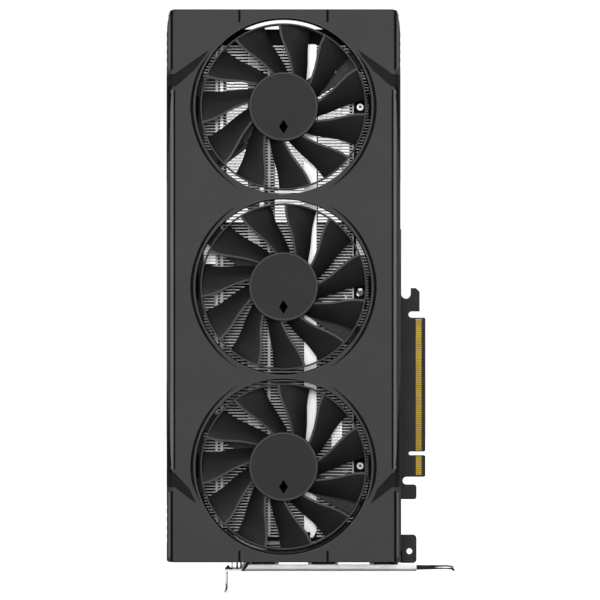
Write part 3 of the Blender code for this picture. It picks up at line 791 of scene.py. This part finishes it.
def build_fin_tabs():
    """Columns of interlocking tabs: bright strips with dark strips between them."""
    strips, dark, brace = bmesh.new(), bmesh.new(), bmesh.new()
    for x0, x1 in ((-36.0, -34.7), (-33.5, -31.9), (-8.4, -7.0), (36.4, 37.1)):
        block(strips, x0, x1, -27.8, -26.6, FIN_Z0, FIN_Z1)
    for x0, x1 in ((-34.7, -33.5), (-31.9, -30.2), (-9.8, -8.4), (-7.0, -5.1), (17.5, 18.1),
                   (34.9, 36.4)):
        block(dark, x0, x1, -26.7, -26.3, FIN_Z0, FIN_Z1)
    # Painted shade: the brace behind the fins takes the darker nickel copy.
    block(brace, -18.9, -12.6, -26.9, -25.9, FIN_Z0, FIN_Z1)
    glints, rungs, lines = bmesh.new(), bmesh.new(), bmesh.new()
    for z in FIN_ROWS[:-1]:
        block(lines, -18.95, -12.55, FIN_FRONT, -26.95, z, z + 0.95)
        if in_window(z, margin=1):
            block(glints, -33.5, -31.9, -27.9, -27.4, z, z + 0.95)
            block(glints, 30.7, 34.7, -27.75, -27.3, z + 0.45, z + 1.5)
        if 60 < z < 82:
            block(glints, 25.4, 30.9, -27.75, -27.2, z, z + 1.3)
        if in_window(z):
            for x0, x1 in ((-36.0, -30.1), (-9.9, -5.0), (34.8, 36.9)):
                block(rungs, x0, x1, -27.85, -27.35, z, z + 0.6)
    piece("fin_tab_strips", strips, M["hem"], "card", bevel=0.1)
    piece("fin_tab_shadow", dark, M["rail"], "card", angle=20)
    piece("fin_brace", brace, M["deep"], "card", bevel=0.15)
    piece("fin_tab_glints", glints, M["bright"], "card", angle=20)
    piece("fin_tab_rungs", rungs, M["hem"], "card", angle=20)
    piece("fin_brace_lines", lines, M["hem"], "card", angle=20)


def build_plates():
    """Side ledge, pipes, plates and bars round the fins."""
    bm = block(bmesh.new(), -57.0, -42.4, -27.6, -26.4, FIN_Z0, FIN_Z1)
    for k in range(9):
        z = 36.0 + 28.0 * k
        block(bm, -56.0, -44.0, -27.9, -27.5, z, z + 1.0)
    block(bm, -37.8, 37.8, -26.6, -25.6, 285.3, 286.2)
    piece("side_ledge", bm, M["ledge"], "card", bevel=0.2)
    paint("nickel", "heat_pipe_1", "heat_pipe_2", "heat_pipe_3")
    # Painted shade: the cold plate and memory plate take the darker nickel copy.
    paint("deep", "cold_plate", "memory_plate")
    paint("bright", "spreader_bar", bevel=0.25)
    paint("rail", "mount_rail", "crossbar", bevel=0.2)
    paint("brace", "end_brace", bevel=0.3)


def build_bar_ends():
    """Pointed ends of the bright bars and the shadow gap below the last fin."""
    bm = bmesh.new()
    prism(bm, "y", [(12.0, 277.2), (16.9, 277.2), (15.3, 283.4), (13.7, 283.6)], -27.2, -26.4)
    prism(bm, "y", [(-7.9, 284.3), (-7.0, 284.0), (-5.9, 280.6), (-6.9, 280.8)], -27.2, -26.4)
    prism(bm, "y", [(14.2, 20.3), (17.0, 20.3), (15.2, 16.2), (13.9, 16.2)], -27.9, -27.6)
    piece("bar_tips", bm, M["bright"], "card", bevel=0.1)
    bm = bmesh.new()
    block(bm, 10.9, 17.4, -27.6, -27.35, 16.6, 20.3)
    block(bm, -37.8, 37.8, -27.9, -27.5, 15.75, 17.5)
    block(bm, -37.8, 37.8, -27.9, -27.5, 13.1, 13.7)
    piece("stack_end_shadow", bm, M["rail"], "card", bevel=0.1)


def build_ducts():
    """Curved lips in the gap round the bottom fan, the left part lighter than the right, with one
    lighter streak: painted highlights.
    """
    cz, steps = FANS["bottom"], 24
    section = [(44.2, -36.5), (44.9, -37.6), (45.98, -38.6), (45.98, -37.4), (44.2, -35.3)]
    # Painted sheen: the left part takes the lighter ledge plastic, the right part the darker motor
    # plastic.
    for name, a0, a1, mat in (("duct_left", 228, 286, "ledge"), ("duct_right", 286, 318, "motor")):
        bm = bmesh.new()
        rings = []
        for i in range(steps + 1):
            a = a0 + (a1 - a0) * i / steps
            rings.append([(x, y, z) for r, y in section for x, z in (polar(cz, r, a),)])
        loft(bm, rings)
        piece(name, bm, M[mat], "card", angle=50)
    a0, a1 = 234, 259
    outer = [polar(cz, 44.55 + 0.95 * math.sin(math.pi * i / steps) ** 0.5,
                   a0 + (a1 - a0) * i / steps) for i in range(steps + 1)]
    bm = bmesh.new()
    prism(bm, "y", outer + list(reversed(arc(0, cz, 44.5, a0, a1, steps))), -38.75, -37.9)
    piece("duct_highlight_streak", bm, M["duct_highlight"], "card", bevel=0.1)


def build_rail_screw(where, z):
    """Round head with a dark recess, seen on the rail's pad; the recess is painted dark as shade.
    """
    n = 36
    bm = bmesh.new()
    lathe(bm, RAIL_X, z, [(0, -26.9), (0.62, -26.9), (0.7, -27.35), (0.85, -27.5),
                          (1.7, -27.5), (1.85, -27.35), (1.85, -26.25), (1.0, -26.2),
                          (1.0, -22.0), (0, -22.0)], n)
    mat = "screw_dark" if where == "middle" else "bright"
    ob = piece("rail_screw_head_" + where, bm, M[mat], "card",
               replaced=("rail_screw_" + where,))
    ob.data.materials.append(M["screw_dark"])
    for poly in list(ob.data.polygons)[:2 * n]:
        poly.material_index = 1


def build_washer_glints():
    # Painted reflection: two bright arcs round the middle screw.
    bm = bmesh.new()
    for a0, a1, inner in ((55, 125, 1.0), (200, 250, 1.5)):
        outer = arc(RAIL_X, PADS["middle"], 2.2, a0, a1, 8)
        prism(bm, "y", outer + list(reversed(arc(RAIL_X, PADS["middle"], inner, a0, a1, 8))),
              -27.65, -27.45)
    piece("rail_screw_glints", bm, M["bright"], "card", angle=20)


# ---- board -----------------------------------------------------------------
CONTACT_PITCH = 0.995


def build_board():
    paint("mask", "pcb", bevel=0.12)
    paint("package", "gpu_package")
    paint("silicon", "gpu_die")
    paint("chip", *["memory_chip_%d" % k for k in (1, 2, 3, 4)], bevel=0.15)
    paint("choke", "choke_1", "choke_2", bevel=0.5)
    for side, y0, y1 in (("front", -0.10, -0.01), ("back", BOARD_T + 0.01, BOARD_T + 0.08)):
        bm = bmesh.new()
        for z0, count in ((49.5, 11), (62.55, 71)):
            for k in range(count):
                z = z0 + k * CONTACT_PITCH
                prism(bm, "y", rounded(70.6, 73.65, z - 0.02, z + 0.72, 0.12, 2), y0, y1)
        replaced = ("edge_contacts_short", "edge_contacts_long") if side == "front" else ()
        piece("contacts_" + side, bm, M["gold"], "card", replaced=replaced, angle=20)
    bm = bmesh.new()
    block(bm, 60.4, 63.4, 0.0, BOARD_T, 2.5, 9.0)
    piece("board_heel", bm, M["mask"], "card", bevel=0.12)
    build_small_parts()
    build_power_socket()


def build_small_parts():
    """Ceramic capacitors and resistors with tinned ends behind the processor."""
    bodies, ends = bmesh.new(), bmesh.new()
    y0, y1 = BOARD_T + 0.02, BOARD_T + 0.75
    for row in range(9):
        for col in range(9):
            x, z = -11.5 + 4.1 * col, 88.0 + 4.0 * row
            if random.random() < 0.18:
                continue
            half = 0.85 if (row + col) % 3 else 0.6
            wide = 0.45
            block(bodies, x - half * 0.62, x + half * 0.62, y0, y1, z - wide, z + wide)
            for s in (-1, 1):
                block(ends, *sorted((x + s * half * 0.66, x + s * half)), y0, y1 + 0.02,
                      z - wide - 0.02, z + wide + 0.02)
    piece("rear_capacitors", bodies, M["ceramic"], "card", bevel=0.05)
    piece("rear_capacitor_ends", ends, M["tin"], "card", bevel=0.05)


def build_power_socket():
    """Eight square cells with a gold blade in each, and a latch ramp."""
    paint("socket", "power_socket", bevel=0.25)
    walls, pins = bmesh.new(), bmesh.new()
    z0, pitch = 157.3, 4.85
    for k in range(1, 4):
        z = z0 + pitch * k
        block(walls, -60.4, -50.1, -11.1, -1.6, z - 0.35, z + 0.35)
    block(walls, -60.3, -50.1, -6.7, -6.0, 157.4, 176.6)
    for k in range(4):
        z = z0 + pitch * (k + 0.5)
        for y in (-8.9, -3.8):
            prism(pins, "x", rounded(y - 0.5, y + 0.5, z - 0.5, z + 0.5, 0.25, 3), -57.5, -49.9)
    block(walls, -60.5, -56.0, -12.9, -12.3, 164.0, 170.0)
    piece("power_socket_cells", walls, M["socket"], "card", bevel=0.12)
    piece("power_socket_pins", pins, M["gold"], "card", bevel=0.1)


# ---- back ------------------------------------------------------------------
def ring_strip(bm, outer, inner, y0, y1):
    """Flat closed band between two equal loops."""
    sections = [[(*a, y0), (*a, y1), (*b, y1), (*b, y0)] for a, b in zip(outer, inner)]
    loft(bm, [[(x, y, z) for x, z, y in section] for section in sections], closed=True)


def build_back():
    paint("backplate", "backplate", bevel=0.3)
    paint("steel", "gpu_bracket", bevel=0.2)
    paint("steel", *["backplate_screw_%d" % k for k in (1, 2, 3, 4)], bevel=0.15)
    # raised rims round the openings, slanted ribs and vent rows
    rims = bmesh.new()
    for x0, x1, z0, z1 in ((-36.0, 43.4, 184.2, 260.0), (-38.0, 38.0, 286.3, 293.8),
                           (-22.0, 32.0, 77.0, 131.0)):
        grow = 1.0 if z1 > 290 else 2.2
        ring_strip(rims, rounded(x0 - grow, x1 + grow, z0 - grow, z1 + grow, 2.0 + grow, 5),
                   rounded(x0 - 0.15, x1 + 0.15, z0 - 0.15, z1 + 0.15, 2.0, 5), 4.9, 5.45)
    piece("backplate_rims", rims, M["backplate"], "card", bevel=0.2)
    ribs = bmesh.new()
    for k in range(6):
        x = -50.0 + 6.0 * k
        prism(ribs, "y", [(x, 136.0), (x + 2.4, 136.0), (x + 26.4, 178.0), (x + 24.0, 178.0)],
              4.9, 5.35)
    for k in range(4):
        x = 8.0 + 6.0 * k
        prism(ribs, "y", [(x, 140.0), (x + 1.2, 140.0), (x + 20.0, 173.0), (x + 18.8, 173.0)],
              4.9, 5.3)
    piece("backplate_ribs", ribs, M["backplate"], "card", bevel=0.15)
    lines = bmesh.new()
    for s in (-1, 1):
        block(lines, *sorted((s * 57.2, s * 57.8)), 4.95, 5.06, 22.0, 284.0)
    for k in range(10):
        z = 24.0 + 4.6 * k
        for x0, x1 in ((-44.0, -12.0), (12.0, 44.0)):
            block(lines, x0, x1, 4.95, 5.05, z, z + 1.7)
    for k in range(4):
        block(lines, -50.0, 50.0, 4.95, 5.05, 264.5 + 4.6 * k, 266.0 + 4.6 * k)
    piece("backplate_lines", lines, M["backlines"], "card", angle=20)
    # sockets in the screw heads
    bm = bmesh.new()
    for x, z in ((-52.0, 14.0), (52.0, 14.0), (-52.0, 172.0), (52.0, 172.0)):
        lathe(bm, x, z, [(0, 5.61), (0.9, 5.61), (1.1, 5.68), (2.1, 5.72), (2.5, 5.6),
                         (2.5, 5.5), (0, 5.5)], 32)
        for a in (45, 135):
            pts = [along_arm(z, a, r, w) for r, w in ((-1.5, -0.25), (1.5, -0.25), (1.5, 0.25),
                                                      (-1.5, 0.25))]
            prism(bm, "y", [(x + u, v) for u, v in pts], 5.6, 5.74)
    piece("backplate_screw_heads", bm, M["screw_dark"], "card", angle=30)


# ---- slot bracket and outputs ----------------------------------------------
SOCKETS = {"displayport_1": (-18.7, -2.7), "displayport_2": (12.9, 28.9), "hdmi": (45.8, 60.0)}


def build_bracket():
    paint("bracket", "slot_bracket", bevel=0.18)
    paint("steel", "bracket_screw_1", "bracket_screw_2", bevel=0.15)
    paint("steel", "displayport_1", "displayport_2", "hdmi", bevel=0.08)
    tongues, pins, shroud_edge_shadows = bmesh.new(), bmesh.new(), bmesh.new()
    for x0, x1 in SOCKETS.values():
        block(tongues, x0 + 2.0, x1 - 2.0, -3.4, -2.2, 2.0, 13.9)
        for k in range(9):
            x = x0 + 2.6 + (x1 - x0 - 5.2) * k / 8
            block(pins, x - 0.18, x + 0.18, -3.5, -3.35, 2.2, 11.0)
        block(shroud_edge_shadows, x0 + 1.9, x1 - 1.8, -34.4, -33.2, 3.75, 5.2)
    piece("socket_tongues", tongues, M["socket"], "card", bevel=0.15)
    piece("socket_contacts", pins, M["gold"], "card", angle=20)
    # Painted shadow: dark strips along the tops of the outputs, just under the shroud's bottom
    # edge.
    block(shroud_edge_shadows, 56.0, 60.3, -34.4, -33.2, 3.4, 5.2)
    piece("socket_top_shadows", shroud_edge_shadows, M["tail"], "card", bevel=0.15)
    # painted shade: the dark outer side of the tail and the fold line under the front lip
    bm = bmesh.new()
    for pts in ([(70.2, -0.05), (79.6, 0.2), (79.6, 2.5), (70.2, 2.45)],
                [(79.5, 1.15), (83.0, 1.6), (86.0, 1.75), (89.6, 1.1), (90.3, 1.7), (86.0, 2.4),
                 (79.5, 2.5)],
                [(79.5, 0.2), (86.0, 0.35), (88.9, 0.15), (90.0, -0.75), (91.0, -0.25),
                 (89.8, 1.1), (86.0, 0.95), (82.5, 0.95), (79.5, 1.2)],
                [(-30.5, -6.4), (-30.0, -6.5), (-29.7, -8.8), (-30.4, -10.4), (-31.1, -11.1),
                 (-31.3, -10.8), (-30.7, -9.8), (-30.35, -8.6)]):
        y = -20.45 if pts[0][0] > 0 else -34.75
        prism(bm, "y", pts, y, y + 0.3)
    block(bm, -30.9, -26.8, -34.75, -34.5, 1.1, 1.9)
    prism(bm, "y", [(-30.3, 1.9), (-28.2, 1.9), (-29.2, 3.7)], -34.75, -34.3)
    block(bm, -27.4, -26.9, -34.75, -34.3, 1.5, 4.8)
    block(bm, -24.9, -24.0, -34.75, -34.3, 1.2, 4.6)
    block(bm, -22.9, -22.0, -34.75, -34.3, 1.6, 4.8)
    prism(bm, "y", [(-22.4, 0.1), (-20.6, 0.1), (-17.6, 4.9), (-18.8, 5.2), (-20.4, 3.4)],
          -34.8, -34.3)
    piece("bracket_edges", bm, M["tail"], "card", bevel=0.08)
    # Painted shade: the fold below the lip takes a darker copy of the bracket metal.
    bm = block(bmesh.new(), -20.6, 70.0, -34.85, -34.5, 0.1, 1.3)
    piece("bracket_fold", bm, M["fold_shade"], "card", bevel=0.1)
    # Painted highlight: the lip's front face takes a brighter copy of the bracket metal.
    bm = block(bmesh.new(), -20.2, 70.0, -34.7, -34.5, 1.3, 3.55)
    piece("bracket_lip_face", bm, M["bright"], "card", bevel=0.08)


# ---- stage -----------------------------------------------------------------
CAMERA_X, CAMERA_Z, CAMERA_AWAY, VIEW_W = 0.00866, 0.143, 2.29, 0.3148


def camera_ray_mix(tree, light, seen):
    """A value for lighting and another for what the camera sees directly."""
    path = tree.nodes.new("ShaderNodeLightPath")
    mix = tree.nodes.new("ShaderNodeMix")
    tree.links.new(path.outputs["Is Camera Ray"], mix.inputs[0])
    mix.inputs[3].default_value = seen
    if isinstance(light, float):
        mix.inputs[2].default_value = light
    else:
        tree.links.new(light, mix.inputs[2])
    return mix.outputs[0]


def build_world(scene):
    """Plain studio: a bright backdrop behind the card, dimmer walls elsewhere."""
    world = bpy.data.worlds.new("studio")
    scene.world = world
    world.use_nodes = True
    tree = world.node_tree
    back = tree.nodes["Background"]
    coords = tree.nodes.new("ShaderNodeTexCoord")
    split = tree.nodes.new("ShaderNodeSeparateXYZ")
    tree.links.new(coords.outputs["Generated"], split.inputs[0])
    ramp = tree.nodes.new("ShaderNodeMapRange")
    for name, value in (("From Min", 0.78), ("From Max", 0.98), ("To Min", 0.20), ("To Max", 1.0)):
        ramp.inputs[name].default_value = value
    tree.links.new(split.outputs["Y"], ramp.inputs["Value"])
    tree.links.new(camera_ray_mix(tree, ramp.outputs["Result"], 1.06), back.inputs["Strength"])
    back.inputs["Color"].default_value = (1, 1, 1, 1)


def build_floor():
    n = Nodes("floor_white")
    colour = n.mix(n.remap(n.noise(6.0, 4.0), 0.0, 1.0), (0.40, 0.40, 0.40), (0.43, 0.43, 0.43))
    n.link(colour, n.shader.inputs["Base Color"])
    n.shader.inputs["Roughness"].default_value = 0.9
    n.shader.inputs["Specular IOR Level"].default_value = 0.0
    n.shader.inputs["Emission Color"].default_value = (1, 1, 1, 1)
    n.link(camera_ray_mix(n.tree, 0.02, 0.93), n.shader.inputs["Emission Strength"])
    bm = bmesh.new()
    low = CAD_BOX[0][2] / MM - 0.3
    prism(bm, "z", circle(0, 0, 6000, 96), low - 5, low)
    new_object("floor", bm, n.mat)


def area_light(scene, name, where, target, size, power):
    data = bpy.data.lights.new(name, "AREA")
    data.shape = "RECTANGLE"
    data.size, data.size_y = size
    data.energy = power
    ob = bpy.data.objects.new(name, data)
    scene.collection.objects.link(ob)
    ob.location = where
    direction = Vector(target) - Vector(where)
    ob.rotation_euler = direction.to_track_quat("-Z", "Y").to_euler()


def build_stage():
    scene = bpy.context.scene
    scene.view_settings.view_transform = "Standard"
    scene.view_settings.look = "None"
    build_world(scene)
    build_floor()
    middle = (0, 0, 0.15)
    area_light(scene, "front_soft", (-0.35, -3.0, 0.9), (0, 0, 0.12), (2.2, 1.6), 45)
    area_light(scene, "left_soft", (-2.3, -1.9, 0.9), middle, (0.7, 1.6), 8)
    area_light(scene, "right_soft", (2.4, -2.0, 0.8), middle, (0.7, 1.6), 12)
    area_light(scene, "top_soft", (0, -0.2, 2.3), (0, 0, 0), (1.6, 1.6), 13)
    area_light(scene, "back_soft", (0.5, 2.2, 1.2), middle, (1.6, 1.6), 20)

    data = bpy.data.cameras.new("camera")
    data.sensor_width = 36.0
    data.lens = data.sensor_width * CAMERA_AWAY / VIEW_W
    data.clip_start, data.clip_end = 0.05, 50.0
    camera = bpy.data.objects.new("camera", data)
    scene.collection.objects.link(camera)
    camera.location = (CAMERA_X, Y_FACE * MM - CAMERA_AWAY, CAMERA_Z)
    camera.rotation_euler = (math.radians(90), 0, 0)
    scene.camera = camera


random.seed(7)
build_shroud()
for spot in FANS:
    build_fan(spot)
build_heatsink()
build_board()
build_back()
build_bracket()
build_stage()
